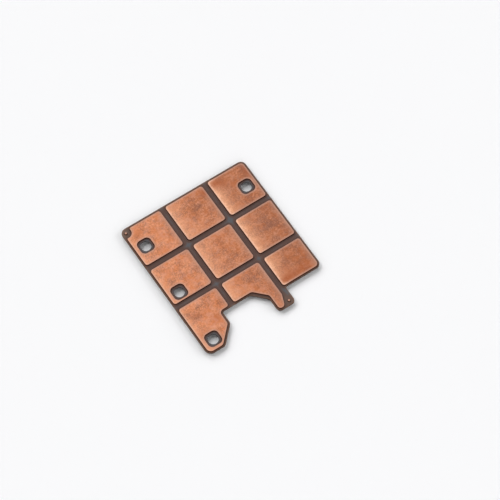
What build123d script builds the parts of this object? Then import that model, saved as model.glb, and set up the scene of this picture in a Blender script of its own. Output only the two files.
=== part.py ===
"""Ceramic circuit substrate: a thin notched plate with nine etched copper pads on its face,
two small copper dots, and one copper sheet bonded to its back."""

from build123d import *
import os

# Thicknesses of the bonded stack
copper_thickness = 0.30
ceramic_thickness = 0.32

# Copper field, measured along the upper edges of the pads
pad_side = 9.15
pad_gap = 1.35
pad_pitch = pad_side + pad_gap
last_column_width = 8.84
last_row_length = 7.32
field_width = 2 * pad_pitch + last_column_width
field_length = 2 * pad_pitch + last_row_length

# Rounded corners of the pads
pad_corner = 0.55
outer_pad_corner = 0.85
foot_pad_corner = 1.10

# Etched copper walls lean outward to a wider foot, and the free edges are slightly broken
etch_angle = 18.0
edge_break = 0.05

# Bare ceramic border round the copper; the whole plate sits a little up and right of its copper
border = 0.43
plate_shift = (0.04, 0.08)
plate_corner = 1.25
foot_corner = 1.50

# Ends of the copper beyond the field's lower edge, and its edge along the top of the notch
foot_reach = 4.10
tab_reach = 3.90
notch_copper_y = 2.46

# Foot, left of the notch: its right side bends into a 45 degree slant, x - y = a constant
foot_copper_x = 6.80
foot_copper_slant = 7.47
foot_copper_radii = (0.95, 0.80, 1.00)
foot_plate_x = 7.31
foot_plate_slant = 8.24
foot_plate_radii = (0.50, 1.00, 1.20)

# Tail of copper down the tab: its left side bends out of a 45 degree slant, x + y = a constant
tail_copper_x = 17.39
tail_copper_slant = 17.19
tail_bend = 0.90
tail_neck_y = -1.40
tail_neck_radius = 1.00
tail_tip = (18.69, -3.87)
tail_tip_radii = (0.82, 0.70)

# Tab of ceramic under the tail
tab_left = tail_copper_x - border
tab_right = 21.23
tab_slant = 16.05
tab_bend = 1.20
tab_corner = 1.00
step_corner = 0.40

# Screw holes in the ceramic, each inside a wider rounded window in the copper
hole_diameter = 2.20
hole_inset = 2.42
hole_spacing = 25.0
hole_row_top = 23.10
window_side = 3.20
window_corner = 1.00

# Small copper dots in the bare corner and on the tab
dot_diameter = 0.50
corner_dot = (0.50, 27.72)
tab_dot = (20.12, -3.27)
bite_radius = 1.20
bite_edge_round = 0.35

# The object's frame has its origin under the middle of the plate, on the surface it rests on
plate_width = field_width + 2 * border
plate_length = field_length + foot_reach + 2 * border
field_x = border - plate_width / 2 - plate_shift[0]
field_y = border + foot_reach - plate_length / 2 - plate_shift[1]
ceramic_bottom = copper_thickness
ceramic_top = ceramic_bottom + ceramic_thickness
copper_top = ceramic_top + copper_thickness

# Corners of the copper field's columns and rows
column_left = [0.0, pad_pitch, 2 * pad_pitch]
column_right = [pad_side, pad_pitch + pad_side, field_width]
row_top = [field_length, field_length - pad_pitch, last_row_length]
row_bottom = [field_length - pad_side, last_row_length + pad_gap, 0.0]

hole_left = hole_inset
hole_right = hole_inset + hole_spacing
hole_rows = [hole_row_top, hole_row_top - hole_spacing / 2, hole_row_top - hole_spacing]
hole_places = [
    (hole_left, hole_rows[0]),
    (hole_right, hole_rows[0]),
    (hole_left, hole_rows[1]),
    (hole_left, hole_rows[2]),
]


def field_plane(height):
    """Plane at a height, with its origin at the copper field's lower left corner."""
    return Plane(origin=(field_x, field_y, height))


def rounded_outline(corners):
    """Face whose corners (x, y, radius) are each rounded to their own radius."""
    with BuildSketch() as outline:
        with BuildLine():
            points = [(x, y) for x, y, radius in corners]
            FilletPolyline(*points, radius=[radius for x, y, radius in corners], close=True)
        make_face()
    return outline.sketch


def plate_outline():
    """Outline of the ceramic plate, clockwise from its top left corner."""
    left, right = -border, field_width + border
    top, step = field_length + border, -border
    foot_bottom, tab_bottom = -foot_reach - border, -tab_reach - border
    notch_top = notch_copper_y - border
    notch_radius, knee_radius, toe_radius = foot_plate_radii
    corners = [
        (left, top, plate_corner),
        (right, top, plate_corner),
        (right, step, plate_corner),
        (tab_right, step, step_corner),
        (tab_right, tab_bottom, tab_corner),
        (tab_left, tab_bottom, tab_corner),
        (tab_left, tab_slant - tab_left, tab_bend),
        (tab_slant - notch_top, notch_top, tab_bend),
        (foot_plate_x, notch_top, notch_radius),
        (foot_plate_x, foot_plate_x - foot_plate_slant, knee_radius),
        (foot_bottom + foot_plate_slant, foot_bottom, toe_radius),
        (left, foot_bottom, foot_corner),
    ]
    with BuildSketch() as outline:
        with Locations(plate_shift):
            add(rounded_outline(corners))
    return outline.sketch


def grid_pad(column, row, corner_radii=(pad_corner,) * 4):
    """Outline of a grid pad; radii run clockwise from its top left corner."""
    left, right = column_left[column], column_right[column]
    bottom, top = row_bottom[row], row_top[row]
    corners = [(left, top), (right, top), (right, bottom), (left, bottom)]
    return rounded_outline([(x, y, r) for (x, y), r in zip(corners, corner_radii)])


def bitten_pad():
    """Top left pad: a round bite keeps the copper clear of the corner dot."""
    with BuildSketch() as outline:
        add(grid_pad(0, 0))
        with Locations(corner_dot):
            Circle(bite_radius, mode=Mode.SUBTRACT)
        bite_edge = outline.edges().filter_by(GeomType.CIRCLE).sort_by_distance(corner_dot)[0]
        fillet(bite_edge.vertices(), bite_edge_round)
    return outline.sketch


def foot_pad():
    """Bottom left pad: it follows the notch and the slanted side of the foot."""
    left, right, top = column_left[0], column_right[0], row_top[2]
    notch_radius, knee_radius, toe_radius = foot_copper_radii
    return rounded_outline(
        [
            (left, top, pad_corner),
            (right, top, pad_corner),
            (right, notch_copper_y, pad_corner),
            (foot_copper_x, notch_copper_y, notch_radius),
            (foot_copper_x, foot_copper_x - foot_copper_slant, knee_radius),
            (foot_copper_slant - foot_reach, -foot_reach, toe_radius),
            (left, -foot_reach, foot_pad_corner),
        ]
    )


def tail_pad():
    """Bottom middle pad: it narrows to a tail with a round tip on the tab."""
    left, right, top = column_left[1], column_right[1], row_top[2]
    tip_right, tip_y = tail_tip
    return rounded_outline(
        [
            (left, top, pad_corner),
            (right, top, pad_corner),
            (right, tail_neck_y, tail_neck_radius),
            (tip_right, tip_y, tail_tip_radii[0]),
            (tail_copper_x, tip_y, tail_tip_radii[1]),
            (tail_copper_x, tail_copper_slant - tail_copper_x, tail_bend),
            (tail_copper_slant - notch_copper_y, notch_copper_y, tail_bend),
            (left, notch_copper_y, pad_corner),
        ]
    )


def dot_outline(centre):
    """Outline of a small round dot of copper."""
    with BuildSketch() as outline:
        with Locations(centre):
            Circle(dot_diameter / 2)
    return outline.sketch


def back_outline():
    """Outline of the copper on the back, set in from the plate's edge all round."""
    with BuildSketch() as outline:
        add(plate_outline())
        offset(amount=-border, mode=Mode.REPLACE)
    return outline.sketch


def etched_copper(name, outline, free_height, to_ceramic, windows=()):
    """Sheet of copper with etched walls, open at each window.

    It is drawn on its free side, at free_height, and to_ceramic is the signed way to the
    plate. The walls lean out from the free side to a wider foot on the ceramic.
    """
    with BuildPart() as sheet:
        with BuildSketch(field_plane(free_height)):
            add(outline)
            if windows:
                with Locations(*windows):
                    RectangleRounded(window_side, window_side, window_corner, mode=Mode.SUBTRACT)
        extrude(amount=to_ceramic)
        walls = sheet.faces() - sheet.faces().filter_by(Axis.Z)
        free_side = Plane(origin=(0, 0, free_height), z_dir=(0, 0, -to_ceramic))
        draft(walls, free_side, etch_angle)
        free_face = sheet.faces().filter_by_position(Axis.Z, free_height, free_height)
        chamfer(free_face.edges(), edge_break)
    sheet.part.label = name
    export_step(sheet.part, f"parts/{name}.step")


os.makedirs("parts", exist_ok=True)

# Ceramic plate with its four screw holes
with BuildPart() as ceramic_plate:
    with BuildSketch(field_plane(ceramic_bottom)):
        add(plate_outline())
        with Locations(*hole_places):
            Circle(hole_diameter / 2, mode=Mode.SUBTRACT)
    extrude(amount=ceramic_thickness)
ceramic_plate.part.label = "ceramic_plate"
export_step(ceramic_plate.part, "parts/ceramic_plate.step")

# Nine pads and two raised dots on the front, each with the centres of its windows
rounder_top_right = (pad_corner, outer_pad_corner, pad_corner, pad_corner)
rounder_bottom_right = (pad_corner, pad_corner, outer_pad_corner, pad_corner)
front_copper = {
    "pad_top_left": (bitten_pad(), [hole_places[0]]),
    "pad_top_middle": (grid_pad(1, 0), []),
    "pad_top_right": (grid_pad(2, 0, rounder_top_right), [hole_places[1]]),
    "pad_middle_left": (grid_pad(0, 1), [hole_places[2]]),
    "pad_centre": (grid_pad(1, 1), []),
    "pad_middle_right": (grid_pad(2, 1), []),
    "pad_foot": (foot_pad(), [hole_places[3]]),
    "pad_tail": (tail_pad(), []),
    "pad_bottom_right": (grid_pad(2, 2, rounder_bottom_right), []),
    "dot_corner": (dot_outline(corner_dot), []),
    "dot_tab": (dot_outline(tab_dot), []),
}
for name, (outline, windows) in front_copper.items():
    etched_copper(name, outline, copper_top, -copper_thickness, windows)

# One sheet of copper on the back, open round all the screw holes
etched_copper("back_copper", back_outline(), 0, copper_thickness, hole_places)
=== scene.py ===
"""Looks of the ceramic circuit substrate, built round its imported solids.

Each sheet of copper gets an etched wall, a worn shoulder and a softly domed face, and the
ceramic plate gets scribed edges. Their outlines are read from the solids, in metres.
"""

import math

import bmesh
import bpy
import numpy as np
from mathutils import Matrix, Vector, noise
from mathutils.geometry import delaunay_2d_cdt
from mathutils.kdtree import KDTree


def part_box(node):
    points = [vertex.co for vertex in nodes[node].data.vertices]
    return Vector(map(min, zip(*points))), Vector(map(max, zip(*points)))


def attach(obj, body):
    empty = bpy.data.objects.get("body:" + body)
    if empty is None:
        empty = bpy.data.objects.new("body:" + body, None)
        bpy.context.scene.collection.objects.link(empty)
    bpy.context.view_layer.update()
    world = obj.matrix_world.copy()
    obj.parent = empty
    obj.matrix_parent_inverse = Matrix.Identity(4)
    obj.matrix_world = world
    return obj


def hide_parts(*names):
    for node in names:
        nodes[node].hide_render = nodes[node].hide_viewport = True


MM = 0.001

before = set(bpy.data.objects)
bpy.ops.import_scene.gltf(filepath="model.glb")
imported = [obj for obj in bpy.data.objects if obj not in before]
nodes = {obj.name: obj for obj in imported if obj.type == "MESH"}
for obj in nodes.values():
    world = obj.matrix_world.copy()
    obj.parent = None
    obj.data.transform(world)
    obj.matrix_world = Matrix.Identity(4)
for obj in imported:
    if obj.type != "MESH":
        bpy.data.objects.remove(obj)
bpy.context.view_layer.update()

# Heights of the stack, from the solids
plate_low, plate_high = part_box("ceramic_plate")
ceramic_bottom, ceramic_top = plate_low.z, plate_high.z
copper_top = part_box("pad_centre")[1].z
back_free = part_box("back_copper")[0].z

# Sampling of the outlines and of the faces between them
outline_step = 0.04 * MM
plate_outline_step = 0.025 * MM
fewest_points = 12
outline_smoothings = 2
face_step = 0.17 * MM
dot_face_step = 0.06 * MM
back_face_step = 0.32 * MM
plate_face_step = 0.28 * MM
clear_of_outline = 0.55
smooth_below = math.radians(50)

# Points and heights closer than this are the same, in metres and for triangles in mm
weld = 1e-7
triangle_weld = 1e-6

# Etched wall: share of the run from foot to face, and share of the thickness. The dark wall
# ends at a share of the run
etched_wall = [
    (0.00, 0.00),
    (0.08, 0.05),
    (0.20, 0.15),
    (0.33, 0.30),
    (0.44, 0.48),
    (0.53, 0.66),
    (0.60, 0.80),
    (0.68, 0.895),
    (0.77, 0.95),
    (0.88, 0.983),
    (1.00, 1.000),
]
wall_ends_at = 0.72

# Rings of the face inside the wall, and how far and deep the face rolls down to its edge
shoulder_rings = [0.03 * MM, 0.07 * MM, 0.12 * MM, 0.18 * MM, 0.25 * MM]
dot_rings = [0.03 * MM, 0.07 * MM, 0.11 * MM]
roll_depth = 0.040 * MM
roll_reach = 0.90 * MM
dot_roll_depth = 0.05 * MM
dot_roll_reach = 0.10 * MM
roll_power = 4

# Where copper is narrow, its rings come closer: the tries at its width, as shares of the
# widest, and the least share that the rings keep
width_tries = np.linspace(0.05, 1.0, 20)
width_slack = 0.96
width_smoothing = 0.3 * MM
room_for_rings = 1.25
width_used = 0.8
least_narrowing = 0.05

# Random wander of the etched edges, of which a share is left at the top of the wall, and
# waves of the faces
etch_wander = 0.010 * MM
etch_wander_length = 0.22 * MM
wander_left = 0.5
face_wave = 0.0016 * MM
face_wave_length = 1.3 * MM
first_seed = 7.0
seed_step = 0.37

# The painted reflection makes the copper lightest and darkest this far to either side of the
# middle
painted_dimming_reach = 16 * MM

# The painted highlight along the -X side of each pad fades over a width in mm; the dots lie as if
# far from it
painted_sheen_width = 1.3
far_from_sheen = 99.0

# Scribed edge of the plate: a row of laser shots, each shallower at its sides, along the
# upper part and a clean break below
scribe_pitch = 0.15 * MM
scribe_depth = 0.018 * MM
shallowest_shot = 0.35
shot_variation = 0.4
break_wander = 0.012 * MM
break_wander_length = 0.4 * MM
shot_seed = 3.0
break_seed = 11.0

# Rings up the plate's edge: inset in mm, share of the thickness, and share scribed
plate_edge = [
    (0.000, 0.00, 0.0),
    (0.004, 0.04, 0.0),
    (0.000, 0.12, 0.0),
    (0.000, 0.45, 0.1),
    (0.003, 0.55, 0.8),
    (0.002, 0.75, 1.0),
    (0.002, 0.92, 1.0),
    (0.008, 0.98, 0.9),
    (0.018, 1.00, 0.6),
]

# Ceramic near a window's edge is greyer than near a pad's outer edge, as if this much
# farther from copper
window_stays_grey = 0.30 * MM

# Darker stains on the copper in mm: middle (x, y), radius across and along, strength
stains = [
    ((1.4, 12.4), (2.7, 2.1), 0.43),
    ((-0.9, 13.0), (1.0, 1.4), 0.24),
    ((3.4, 14.6), (1.4, 1.4), 0.20),
    ((-12.9, 13.7), (1.7, 1.2), 0.30),
    ((14.3, 13.9), (1.3, 2.6), 0.45),
    ((8.8, 15.2), (1.7, 0.8), 0.25),
    ((11.0, 9.8), (1.5, 1.8), 0.30),
    ((-7.2, -0.4), (1.6, 2.2), 0.20),
    ((-12.8, 0.9), (1.3, 1.0), 0.22),
    ((-13.6, 4.6), (1.0, 1.4), 0.12),
    ((2.0, -0.8), (3.0, 2.2), 0.24),
    ((-0.2, 1.8), (1.6, 1.0), 0.12),
    ((11.4, -0.2), (2.7, 3.4), 0.32),
    ((13.4, 3.8), (1.4, 1.4), 0.16),
    ((-12.2, -7.2), (2.8, 1.7), 0.35),
    ((-8.0, -7.5), (1.6, 1.1), 0.30),
    ((-12.0, -9.4), (2.4, 0.8), 0.18),
    ((1.4, -7.3), (2.6, 1.2), 0.22),
    ((11.2, -8.8), (2.6, 3.2), 0.30),
    ((-14.46, 15.53), (0.6, 0.6), 0.80),
]

# Places where the copper was heated to an orange red, written in the same way
reddened = [
    ((7.5, 14.9), (1.7, 1.1), 0.85),
    ((9.4, 13.6), (1.3, 1.0), 0.35),
    ((14.4, 13.9), (0.8, 1.8), 0.75),
    ((4.3, 14.4), (0.9, 1.0), 0.80),
    ((-12.8, 13.9), (1.2, 0.9), 0.35),
    ((-13.6, -12.3), (1.5, 1.6), 0.40),
    ((-12.4, -8.0), (1.8, 1.0), 0.30),
    ((-9.0, -10.6), (1.2, 1.1), 0.50),
    ((7.4, -11.3), (1.9, 1.3), 0.90),
    ((11.0, -10.9), (2.2, 1.0), 0.55),
    ((8.2, -8.9), (1.6, 0.9), 0.35),
]

# Place on the tab where the bare ceramic is as brown as next to the copper
browned_spots = [((5.2, -15.4), (1.9, 1.6), 0.75)]

# Places where the bare ceramic is a little paler
pale_spots = [((-14.6, 15.6), (0.9, 0.9), 0.65), ((5.2, -15.4), (1.5, 1.4), 0.30)]


def closed_length(points):
    """Length along a closed loop at each of its points, and round it all."""
    steps = np.linalg.norm(np.roll(points, -1, axis=0) - points, axis=1)
    along = np.concatenate([[0.0], np.cumsum(steps)])
    return along[:-1], along[-1]


def resampled(points, step):
    """The same closed loop with even steps, its facets smoothed a little."""
    along, total = closed_length(points)
    count = max(fewest_points, round(total / step))
    wanted = np.arange(count) * total / count
    closed = np.vstack([points, points[:1]])
    grown = np.append(along, total)
    loop = np.column_stack([np.interp(wanted, grown, closed[:, axis]) for axis in (0, 1)])
    for _ in range(outline_smoothings):
        loop = 0.5 * loop + 0.25 * (np.roll(loop, 1, axis=0) + np.roll(loop, -1, axis=0))
    return loop


def signed_area(points):
    """Area inside a closed loop, positive when it runs counter-clockwise."""
    x, y = points.T
    return 0.5 * float(np.sum(x * np.roll(y, -1) - np.roll(x, -1) * y))


def outline_loops(node, height, step):
    """Loops round the flat face of a solid at a height: the outer one first and
    counter-clockwise, then its holes clockwise, so that material lies on the left."""
    bm = bmesh.new()
    bm.from_mesh(node.data)
    bmesh.ops.remove_doubles(bm, verts=bm.verts, dist=weld)
    flat = {f for f in bm.faces if all(abs(v.co.z - height) < weld for v in f.verts)}
    rim = [e for e in bm.edges if sum(f in flat for f in e.link_faces) == 1]
    neighbours = {}
    for edge in rim:
        a, b = edge.verts
        neighbours.setdefault(a, []).append(b)
        neighbours.setdefault(b, []).append(a)
    loops = []
    while neighbours:
        start = next(iter(neighbours))
        chain, previous, current = [], None, start
        while current in neighbours:
            chain.append((current.co.x, current.co.y))
            ahead = [v for v in neighbours.pop(current) if v is not previous]
            previous, current = current, ahead[0]
        loops.append(np.array(chain))
    bm.free()
    loops.sort(key=lambda loop: -abs(signed_area(loop)))
    turned = []
    for index, loop in enumerate(loops):
        wanted_sign = 1 if index == 0 else -1
        if signed_area(loop) * wanted_sign < 0:
            loop = loop[::-1]
        turned.append(resampled(loop, step))
    return turned


def left_normals(loop):
    """Unit normals of a loop that point into the material."""
    ahead = np.roll(loop, -2, axis=0) - np.roll(loop, 2, axis=0)
    normals = np.column_stack([-ahead[:, 1], ahead[:, 0]])
    return normals / np.linalg.norm(normals, axis=1)[:, None]


def wander(points, length, seed):
    """Smooth random value from -1 to 1 at each point, which changes over that length."""
    return np.array([noise.noise(Vector((x / length, y / length, seed))) for x, y in points])


def inside(points, loop):
    """Whether each point is inside a closed loop."""
    x, y = points[:, :1], points[:, 1:]
    ax, ay = loop.T
    bx, by = np.roll(loop, -1, axis=0).T
    crosses = (ay > y) != (by > y)
    slope = (bx - ax) / np.where(by == ay, weld, by - ay)
    return np.sum(crosses & (x < ax + slope * (y - ay)), axis=1) % 2 == 1


def face_points(loops, step):
    """Points of a triangular lattice inside the outer loop and clear of every loop."""
    low, high = loops[0].min(axis=0), loops[0].max(axis=0)
    rows = np.arange(low[1], high[1], step * math.sqrt(3) / 2)
    lattice = []
    for index, y in enumerate(rows):
        xs = np.arange(low[0] + step / 2 * (index % 2), high[0], step)
        lattice.append(np.column_stack([xs, np.full(len(xs), y)]))
    points = np.vstack(lattice)
    keep = inside(points, loops[0])
    for hole in loops[1:]:
        keep &= ~inside(points, hole)
    points = points[keep]
    gap = distances(points, loops)
    return points[gap > step * clear_of_outline]


def distances(points, loops):
    """Distance of each point from the nearest loop point."""
    everything = np.vstack(loops)
    tree = KDTree(len(everything))
    for index, (x, y) in enumerate(everything):
        tree.insert((x, y, 0), index)
    tree.balance()
    return np.array([tree.find((x, y, 0))[2] for x, y in points])


def free_width(loops, reach):
    """How far in from each loop's points the material goes before its middle, up to reach."""
    tries = width_tries * reach
    wide = int(width_smoothing / outline_step)
    widths = []
    for loop in loops:
        normals = left_normals(loop)
        width = np.full(len(loop), tries[0])
        growing = np.ones(len(loop), dtype=bool)
        for tried in tries:
            growing &= distances(loop + normals * tried, loops) > width_slack * tried
            width[growing] = tried
        nearby = [np.roll(width, shift) for shift in range(-wide, wide + 1)]
        widths.append(np.mean([np.min(nearby[i : i + wide], axis=0) for i in range(wide)], axis=0))
    return widths


def triangles(loops, points):
    """Triangles, counter-clockwise, that fill the face between loops through points.

    Their numbers count the loops' points in order and then the face's own points.
    """
    corners = [tuple(p) for loop in loops for p in loop] + [tuple(p) for p in points]
    edges, start = [], 0
    for loop in loops:
        count = len(loop)
        edges += [(start + i, start + (i + 1) % count) for i in range(count)]
        start += count
    scale = 1 / MM
    scaled = [Vector((x * scale, y * scale)) for x, y in corners]
    made = delaunay_2d_cdt(scaled, edges, [], 0, triangle_weld, True)
    corner_of = [ids[0] for ids in made[3]]
    faces = [tuple(corner_of[v] for v in face) for face in made[2]]
    flat = np.array(corners)
    middles = flat[np.array(faces)].mean(axis=1)
    keep = inside(middles, loops[0])
    for hole in loops[1:]:
        keep &= ~inside(middles, hole)
    kept = []
    for face, wanted in zip(faces, keep):
        if wanted:
            a, b, c = (flat[v] for v in face)
            turn = (b[0] - a[0]) * (c[1] - a[1]) - (b[1] - a[1]) * (c[0] - a[0])
            kept.append(face if turn > 0 else face[::-1])
    return kept


def shell(base_loops, rings, step, face_height):
    """Closed body: walls through rings of every loop, a face on top and one below.

    rings gives, for each loop, a list of (inset, height) pairs of arrays along it. Returns
    points, faces, and for each point its ring's number, or -1 on the face.
    """
    points, ring_of, faces = [], [], []
    first_ring, last_ring = [], []
    for loop, loop_rings in zip(base_loops, rings):
        normals = left_normals(loop)
        count = len(loop)
        starts = []
        for number, (inset, height) in enumerate(loop_rings):
            starts.append(len(points))
            moved = loop + normals * np.broadcast_to(inset, count)[:, None]
            heights = np.broadcast_to(height, count)
            points += [(x, y, z) for (x, y), z in zip(moved, heights)]
            ring_of += [number] * count
        for low, high in zip(starts, starts[1:]):
            for i in range(count):
                j = (i + 1) % count
                faces.append((low + i, low + j, high + j, high + i))
        first_ring.append((starts[0], count))
        last_ring.append((starts[-1], count))

    def ring_loops(which):
        flat = np.array(points)[:, :2]
        return [flat[start : start + count] for start, count in which]

    def ring_numbers(which):
        return [start + i for start, count in which for i in range(count)]

    upper = ring_loops(last_ring)
    inner = face_points(upper, step)
    numbers = ring_numbers(last_ring) + [len(points) + i for i in range(len(inner))]
    points += [(x, y, z) for (x, y), z in zip(inner, face_height(inner))]
    ring_of += [-1] * len(inner)
    faces += [tuple(numbers[v] for v in triangle) for triangle in triangles(upper, inner)]

    lower = ring_loops(first_ring)
    numbers = ring_numbers(first_ring)
    under = triangles(lower, np.empty((0, 2)))
    faces += [tuple(numbers[v] for v in triangle)[::-1] for triangle in under]
    return np.array(points), faces, np.array(ring_of)


def piece(name, points, faces, attributes, material, node):
    """Object of a mesh with named values on its points, which stands for a solid."""
    mesh = bpy.data.meshes.new(name)
    mesh.from_pydata([tuple(p) for p in points], [], faces)
    mesh.validate()
    for title, values in attributes.items():
        layer = mesh.attributes.new(title, "FLOAT", "POINT")
        layer.data.foreach_set("value", np.asarray(values, dtype=np.float32))
    mesh.materials.append(material)
    mesh.shade_smooth()
    mesh.set_sharp_from_angle(angle=smooth_below)
    made = bpy.data.objects.new(name, mesh)
    bpy.context.scene.collection.objects.link(made)
    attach(made, "root")
    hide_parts(node)


def spot_strength(points, spots):
    """How strong a list of soft spots is at each point, from 0 to 1."""
    total = np.zeros(len(points))
    for (x, y), (across, along), strength in spots:
        dx = (points[:, 0] / MM - x) / across
        dy = (points[:, 1] / MM - y) / along
        total += strength * np.exp(-(dx**2 + dy**2))
    return np.clip(total, 0, 1)


def copper_sheet(node_name, foot, free, material, step):
    """Etched sheet of copper between its foot on the plate and its free side."""
    node = nodes[node_name]
    is_dot = node_name.startswith("dot")
    loops = outline_loops(node, foot, outline_step)
    free_left = min(v.co.x for v in node.data.vertices if abs(v.co.z - free) < weld)
    run = free_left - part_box(node_name)[0].x
    up = 1 if free > foot else -1
    thickness = abs(free - foot)
    depth, reach = (dot_roll_depth, dot_roll_reach) if is_dot else (roll_depth, roll_reach)
    beyond = dot_rings if is_dot else shoulder_rings
    seed = first_seed + sum(map(ord, node_name)) * seed_step

    def wave(points):
        return face_wave * (wander(points, face_wave_length, seed) - 1)

    rings = []
    widths = free_width(loops, run + beyond[-1] * room_for_rings)
    for loop, width in zip(loops, widths):
        shift = etch_wander * wander(loop, etch_wander_length, seed)
        waves = wave(loop)
        narrowing = np.clip((width_used * width - run) / beyond[-1], least_narrowing, 1.0)
        loop_rings = []
        for run_share, height_share in etched_wall:
            weight = wander_left + (1 - wander_left) * (1 - run_share)
            height = thickness * height_share - depth * height_share**roll_power
            loop_rings.append((run * run_share + shift * weight, np.array(height)))
        for distance in beyond:
            fade = 1 - distance / beyond[-1]
            gone = distance * narrowing
            height = thickness - depth * np.exp(-gone / reach) + waves * (1 - fade)
            loop_rings.append((run + gone + wander_left * shift * fade, height))
        rings.append(loop_rings)

    def face_height(points):
        gap = distances(points, loops) - run
        return thickness - depth * np.exp(-np.maximum(gap, 0) / reach) + wave(points)

    points, faces, ring_of = shell(loops, rings, step, face_height)
    from_edge = distances(points[:, :2], loops) - run
    wall_rings = [i for i, (share, _) in enumerate(etched_wall) if share <= wall_ends_at]
    wall = np.isin(ring_of, wall_rings).astype(float)
    points[:, 2] = foot + up * points[:, 2]
    if up < 0:
        faces = [face[::-1] for face in faces]
    across = (points[:, 0] - min(points[:, 0]) - run) / MM
    to_right = (max(points[:, 0]) - points[:, 0] - run) / MM
    attributes = {
        "from_edge": np.where(is_dot, 0.0, np.maximum(from_edge, 0) / MM),
        "across": np.where(is_dot, far_from_sheen, across),
        "to_right": np.where(is_dot, 0.0, to_right),
        "wall": wall,
        "stain": spot_strength(points, stains),
        "red": spot_strength(points, reddened),
    }
    piece(f"{node_name}_look", points, faces, attributes, material, node_name)


def scribed_plate(material):
    """Ceramic plate with a row of laser shots along the top of its outer edge."""
    loops = outline_loops(nodes["ceramic_plate"], ceramic_bottom, plate_outline_step)
    thickness = ceramic_top - ceramic_bottom
    rings = []
    for index, loop in enumerate(loops):
        along, total = closed_length(loop)
        shots = round(total / scribe_pitch)
        cusps = 1 - np.abs(np.sin(along / total * shots * math.pi))
        jitter = 0.5 + 0.5 * wander(loop, scribe_pitch * 2, shot_seed + index)
        broken = 0.5 + 0.5 * wander(loop, break_wander_length, break_seed + index)
        shot = scribe_depth * (1 - (1 - shallowest_shot) * cusps)
        shot = shot * (1 - shot_variation * (1 - jitter))
        loop_rings = []
        for inset, share, scribed in plate_edge:
            cut_in = shot * scribed + break_wander * broken * (1 - scribed)
            loop_rings.append((inset * MM + cut_in, np.array(thickness * share)))
        rings.append(loop_rings)

    def face_height(points):
        return np.full(len(points), thickness)

    points, faces, ring_of = shell(loops, rings, plate_face_step, face_height)
    points[:, 2] += ceramic_bottom
    front = [name for name in nodes if name not in ("ceramic_plate", "back_copper")]
    feet = [outline_loops(nodes[name], ceramic_top, outline_step) for name in front]
    outer_feet = [outer for outer, *_ in feet]
    window_feet = [window for _, *windows in feet for window in windows]
    from_copper = np.minimum(
        distances(points[:, :2], outer_feet),
        distances(points[:, :2], window_feet) + window_stays_grey,
    )
    attributes = {
        "from_copper": from_copper / MM * (1 - spot_strength(points, browned_spots)),
        "from_rim": distances(points[:, :2], loops[:1]) / MM,
        "pale": spot_strength(points, pale_spots),
        "cut": ((ring_of >= 0) & (ring_of < len(plate_edge) - 1)).astype(float),
    }
    piece("ceramic_plate_look", points, faces, attributes, material,
          "ceramic_plate")


class Nodes:
    """Short way to write the nodes of a material or of the world."""

    def __init__(self, owner, output, coordinates):
        owner.use_nodes = True
        self.owner = owner
        self.tree = owner.node_tree
        self.tree.nodes.clear()
        self.output = self.add(output)
        self.place = self.add("ShaderNodeTexCoord").outputs[coordinates]

    def put(self, socket, value):
        """Links a socket to another, or sets its value."""
        if isinstance(value, bpy.types.NodeSocket):
            self.tree.links.new(value, socket)
        else:
            socket.default_value = value

    def add(self, kind, **inputs):
        """New node with its inputs set, or linked where a value is a socket."""
        node = self.tree.nodes.new(kind)
        for title, value in inputs.items():
            self.put(node.inputs[title.replace("_", " ")], value)
        return node

    def finish(self, surface):
        """Puts a surface on the output, and returns the material or world."""
        self.put(self.output.inputs["Surface"], surface.outputs[0])
        return self.owner

    def attribute(self, title):
        """Value stored on the mesh."""
        node = self.add("ShaderNodeAttribute")
        node.attribute_name = title
        return node.outputs["Fac"]

    def along(self, axis):
        """Coordinate of the place, or of the direction in the world."""
        return self.add("ShaderNodeSeparateXYZ", Vector=self.place).outputs[axis]

    def towards(self, direction):
        """How much the place, or the direction in the world, points along another."""
        node = self.add("ShaderNodeVectorMath")
        node.operation = "DOT_PRODUCT"
        self.put(node.inputs[0], self.place)
        self.put(node.inputs[1], direction)
        return node.outputs["Value"]

    def noise(self, size, detail, roughness, seed, stretch=(1, 1, 1)):
        """Noise from 0 to 1 with features of about that size in metres."""
        moved = (seed, seed * 0.7, 0)
        mapping = self.add("ShaderNodeMapping", Vector=self.place, Location=moved, Scale=stretch)
        node = self.add("ShaderNodeTexNoise", Vector=mapping.outputs[0], Scale=1 / size,
                        Detail=detail, Roughness=roughness)
        return node.outputs["Fac"]

    def math(self, operation, first, second=0.0):
        """Sum, product or other operation on one or two values."""
        node = self.add("ShaderNodeMath")
        node.operation = operation
        self.put(node.inputs[0], first)
        self.put(node.inputs[1], second)
        return node.outputs[0]

    def ramp(self, value, low, high, to_low=0.0, to_high=1.0, step="SMOOTHSTEP"):
        """Smooth or linear step of a value from one range to another."""
        node = self.add("ShaderNodeMapRange", Value=value, From_Min=low, From_Max=high,
                        To_Min=to_low, To_Max=to_high)
        node.interpolation_type = step
        return node.outputs["Result"]

    def mix(self, share, first, second):
        """Colour between two colours."""
        node = self.add("ShaderNodeMix")
        node.data_type = "RGBA"
        self.put(node.inputs["Factor"], share)
        self.put(node.inputs["A"], first)
        self.put(node.inputs["B"], second)
        return node.outputs["Result"]

    def bump(self, height, distance, strength=1.0, under=None):
        """Normal bent by a height from 0 to 1 that stands for a distance in metres."""
        node = self.add("ShaderNodeBump", Height=height, Distance=distance, Strength=strength)
        if under is not None:
            self.put(node.inputs["Normal"], under)
        return node.outputs["Normal"]


def material_nodes(name):
    """Nodes of a new material, with only its output and its place so far."""
    return Nodes(bpy.data.materials.new(name), "ShaderNodeOutputMaterial", "Object")


def colour(red, green, blue):
    """Linear colour from 8-bit sRGB values."""
    shares = [value / 255 for value in (red, green, blue)]
    linear = [s / 12.92 if s <= 0.04045 else ((s + 0.055) / 1.055) ** 2.4 for s in shares]
    return (*linear, 1.0)


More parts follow.
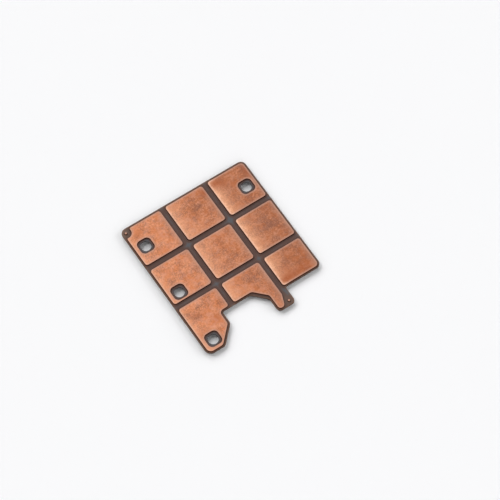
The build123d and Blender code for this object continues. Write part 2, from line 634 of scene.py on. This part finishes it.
def copper_material(name, seed, painted_sheen_and_tints):
    """Satin copper: mottled by its large grains, stained in patches, darker towards +X over
    the whole part by a painted reflection, paler near its edges, and dark on the walls from
    their rough oxide and from painted shade. Where asked, it has a painted highlight along
    the -X side of each pad, is pale along the +X side and is reddened in places."""
    make = material_nodes(name)
    wall = make.attribute("wall")
    cloud = make.noise(2.1 * MM, 2.0, 0.5, seed)
    drift = make.noise(1.7 * MM, 1.0, 0.5, seed + 6)
    patch = make.noise(1.1 * MM, 2.0, 0.5, seed + 4)
    grain = make.noise(0.45 * MM, 2.0, 0.5, seed + 1)
    fleck = make.noise(0.20 * MM, 2.0, 0.5, seed + 2)
    scratch = make.noise(0.35 * MM, 2.0, 0.6, seed + 3, stretch=(0.12, 1.6, 1))

    # Clean copper: two shades of grain, and orange and pink drifts over them
    # Painted reflection: the copper's colours get darker from -X to +X over the whole part
    painted_dimming = make.ramp(make.along("X"), -painted_dimming_reach, painted_dimming_reach)
    grainy = make.ramp(grain, 0.35, 0.65)
    lit_end_grain = make.mix(grainy, colour(225, 145, 104), colour(244, 169, 129))
    dim_end_grain = make.mix(grainy, colour(182, 112, 77), colour(210, 140, 106))
    body = make.mix(painted_dimming, lit_end_grain, dim_end_grain)
    orange = make.mix(painted_dimming, colour(222, 135, 88), colour(186, 107, 67))
    body = make.mix(make.ramp(drift, 0.38, 0.66, 0.0, 0.60), body, orange)
    pink = make.mix(painted_dimming, colour(230, 166, 141), colour(206, 145, 117))
    body = make.mix(make.ramp(patch, 0.42, 0.68, 0.0, 0.50), body, pink)

    # Tarnish in clouds, stains and flecks
    tarnish = make.math("ADD", make.ramp(cloud, 0.32, 0.68, -0.12, 0.36), make.attribute("stain"))
    tarnish = make.math("ADD", tarnish, make.ramp(fleck, 0.34, 0.66, -0.16, 0.30))
    brown = make.mix(make.ramp(cloud, 0.35, 0.65), colour(158, 94, 58), colour(142, 96, 80))
    body = make.mix(make.ramp(tarnish, 0.0, 1.2), body, brown)

    # Painted highlight along the -X side of each pad, paled and reddened places, and the colour of
    # the edges
    rim = colour(222, 166, 140)
    if painted_sheen_and_tints:
        # Painted highlight: a bright band along the -X side of each pad, stronger towards +X
        across = make.math("ADD", make.attribute("across"), make.ramp(patch, 0.2, 0.8, -0.5, 0.5))
        fading = make.math("EXPONENT", make.math("MULTIPLY", across, -1 / painted_sheen_width))
        bright = make.math("MULTIPLY", fading, make.ramp(painted_dimming, 0.0, 0.7, 0.35, 1.0))
        bright = make.math("MULTIPLY", bright, make.ramp(fleck, 0.3, 0.7, 1.22, 0.76))
        bright = make.math("MINIMUM", bright, 1.0)
        body = make.mix(bright, body, colour(255, 190, 151))
        pale = make.ramp(make.attribute("to_right"), 0.0, 1.5, 0.45, 0.0)
        body = make.mix(pale, body, colour(190, 146, 126))
        # Painted highlight on the edges as well: they are brighter along the -X side
        rim = make.mix(bright, colour(206, 162, 143), colour(255, 210, 186))
        red = make.math("MULTIPLY", make.attribute("red"), make.ramp(grain, 0.3, 0.7, 0.70, 0.95))
        body = make.mix(red, body, colour(176, 94, 56))

    # Ragged pale edges, and walls darkened partly by their rough oxide and partly by painted shade
    ragged = make.math("ADD", make.attribute("from_edge"), make.ramp(fleck, 0.3, 0.7, -0.06, 0.06))
    body = make.mix(make.ramp(ragged, 0.04, 0.46, 0.60, 0.0), body, rim)
    # Painted shade together with the walls' oxide: their colour is a dark brown
    etched = make.mix(make.ramp(grain, 0.3, 0.7), colour(90, 48, 36), colour(70, 40, 31))
    body = make.mix(make.ramp(wall, 0.2, 0.8), body, etched)

    # Satin finish, rougher on the walls and where it is tarnished
    rough = make.ramp(grain, 0.25, 0.75, 0.30, 0.40)
    rough = make.math("ADD", rough, make.ramp(wall, 0.2, 0.8, 0.0, 0.22))
    rough = make.math("ADD", rough, make.ramp(tarnish, 0.2, 1.0, 0.0, 0.08))
    normal = make.bump(grain, 0.0022 * MM)
    normal = make.bump(fleck, 0.0010 * MM, under=normal)
    normal = make.bump(scratch, 0.0008 * MM, 0.7, normal)
    return make.finish(make.add("ShaderNodeBsdfPrincipled", Base_Color=body, Metallic=1.0,
                                Roughness=rough, Normal=normal))


def ceramic_material():
    """Matte grey nitride with a fine sintered grain, browner next to the copper and browned by
    the laser along the rim, and darker on its side faces."""
    make = material_nodes("sintered_ceramic")
    cloud = make.noise(3.2 * MM, 3.0, 0.6, 4.0)
    grain = make.noise(0.09 * MM, 4.0, 0.65, 5.0)
    speck = make.noise(0.30 * MM, 2.0, 0.5, 6.0)
    grainy = make.ramp(grain, 0.3, 0.7)
    brown = make.mix(grainy, colour(80, 60, 54), colour(96, 73, 66))
    grey = make.mix(grainy, colour(80, 80, 83), colour(92, 92, 95))
    bare = make.math("ADD", make.attribute("from_copper"), make.ramp(cloud, 0.3, 0.7, -0.15, 0.15))
    body = make.mix(make.ramp(bare, 0.35, 0.92), brown, grey)
    singed = make.ramp(make.attribute("from_rim"), 0.10, 0.42, 0.45, 0.0)
    body = make.mix(singed, body, colour(122, 90, 68))
    body = make.mix(make.attribute("pale"), body, colour(132, 112, 98))
    body = make.mix(make.ramp(speck, 0.62, 0.74, 0.0, 0.5), body, colour(108, 94, 84))
    cut = make.ramp(make.attribute("cut"), 0.2, 0.9, 0.0, 0.55)
    body = make.mix(cut, body, colour(66, 55, 49))
    rough = make.ramp(grain, 0.3, 0.7, 0.52, 0.68)
    normal = make.bump(grain, 0.0030 * MM)
    surface = make.add("ShaderNodeBsdfPrincipled", Base_Color=body, Metallic=0.0,
                       Roughness=rough, Normal=normal)
    surface.inputs["Specular IOR Level"].default_value = 0.35
    return make.finish(surface)


def floor_material():
    """Plain white matte floor."""
    make = material_nodes("floor_white")
    return make.finish(make.add("ShaderNodeBsdfDiffuse", Color=(0.95, 0.95, 0.96, 1.0)))


front_copper = copper_material("front_copper_satin", 1.0, painted_sheen_and_tints=True)
back_copper = copper_material("back_copper_satin", 21.0, painted_sheen_and_tints=False)
ceramic = ceramic_material()

for node_name in nodes:
    if node_name == "ceramic_plate":
        scribed_plate(ceramic)
    elif node_name == "back_copper":
        copper_sheet(node_name, ceramic_bottom, back_free, back_copper,
                     back_face_step)
    else:
        step = dot_face_step if node_name.startswith("dot") else face_step
        copper_sheet(node_name, ceramic_top, copper_top, front_copper, step)

# Floor, a hair under the object
floor_half = 3.0
floor_gap = 0.01 * MM
bpy.ops.mesh.primitive_plane_add(size=2 * floor_half, location=(0, 0, -floor_gap))
floor = bpy.context.object
floor.name = "floor"
floor.data.materials.append(floor_material())

# Light: a white tent with soft windows. Each lamp has its elevation, its azimuth from +Y
# towards +X, its width, and its share of the light on the floor. Metal shows the tent and
# not the lamps.
lamps = {
    "window_left": (34.0, -20.0, 30.0, 0.300),
    "window_low": (25.0, 20.0, 15.0, 0.090),
    "window_high": (36.0, 30.0, 16.0, 0.075),
    "side_right": (20.0, 110.0, 30.0, 0.110),
    "near_side": (22.0, 200.0, 30.0, 0.050),
}

# What the tent lights: it is brightest in a band, which rises and falls over these sines of
# the elevation to the roof, and is stronger towards one side than away from it
band_strength = 2.65
band_rise = (0.12, 0.34)
band_fall = (0.40, 0.50)
roof_strength = 0.12
band_from = (0.50, 0.85, 0.0)
band_turn = (0.50, 1.45)

# What shows the tent: it is plain, and dims from the -X side to the +X side
shown_span = (-0.6, 0.8)
shown_strength = (1.40, 0.92)


def sun(name, elevation, azimuth, width, share):
    """Soft distant lamp that lights a level white floor by a share of full white."""
    data = bpy.data.lights.new(name, "SUN")
    data.energy = share * math.pi / math.sin(math.radians(elevation))
    data.angle = math.radians(width)
    lamp = bpy.data.objects.new(name, data)
    lamp.visible_glossy = False
    bpy.context.scene.collection.objects.link(lamp)
    e, a = math.radians(elevation), math.radians(azimuth)
    towards = Vector((math.sin(a) * math.cos(e), math.cos(a) * math.cos(e), math.sin(e)))
    lamp.rotation_euler = towards.to_track_quat("Z", "Y").to_euler()


for name, settings in lamps.items():
    sun(name, *settings)

sky = Nodes(bpy.data.worlds.new("tent"), "ShaderNodeOutputWorld", "Generated")
rise = sky.ramp(sky.along("Z"), *band_rise, 0.0, band_strength)
side = sky.ramp(sky.towards(band_from), -1.0, 1.0, *band_turn, "LINEAR")
band = sky.math("MULTIPLY", rise, side)
cast = sky.ramp(sky.along("Z"), *band_fall, band, roof_strength)
shown = sky.ramp(sky.along("X"), *shown_span, *shown_strength, "LINEAR")
ray = sky.add("ShaderNodeLightPath").outputs
seen = sky.math("MAXIMUM", ray["Is Camera Ray"], ray["Is Glossy Ray"])
seen = sky.math("MAXIMUM", seen, ray["Is Transmission Ray"])
level = sky.ramp(seen, 0.0, 1.0, cast, shown, "LINEAR")
bpy.context.scene.world = sky.finish(sky.add("ShaderNodeBackground", Strength=level))

# Camera, fitted to the photograph's view
camera_target = Vector((4.82, -1.73, 0.92)) * MM
camera_distance = 0.50942
camera_azimuth = math.radians(-37.69)
camera_elevation = math.radians(64.53)
camera_roll = math.radians(4.0)
camera_lens = 177.97
camera_sensor = 36.0

camera_data = bpy.data.cameras.new("camera")
camera_data.lens = camera_lens
camera_data.sensor_width = camera_sensor
camera = bpy.data.objects.new("camera", camera_data)
bpy.context.scene.collection.objects.link(camera)
back = Vector((
    math.sin(camera_azimuth) * math.cos(camera_elevation),
    -math.cos(camera_azimuth) * math.cos(camera_elevation),
    math.sin(camera_elevation),
))
right = Vector((math.cos(camera_azimuth), math.sin(camera_azimuth), 0.0))
upward = back.cross(right)
turn = Matrix((right, upward, back)).transposed() @ Matrix.Rotation(camera_roll, 3, "Z")
camera.matrix_world = (
    Matrix.Translation(camera_target + back * camera_distance) @ turn.to_4x4()
)
bpy.context.scene.camera = camera
bpy.context.scene.view_settings.view_transform = "Standard"
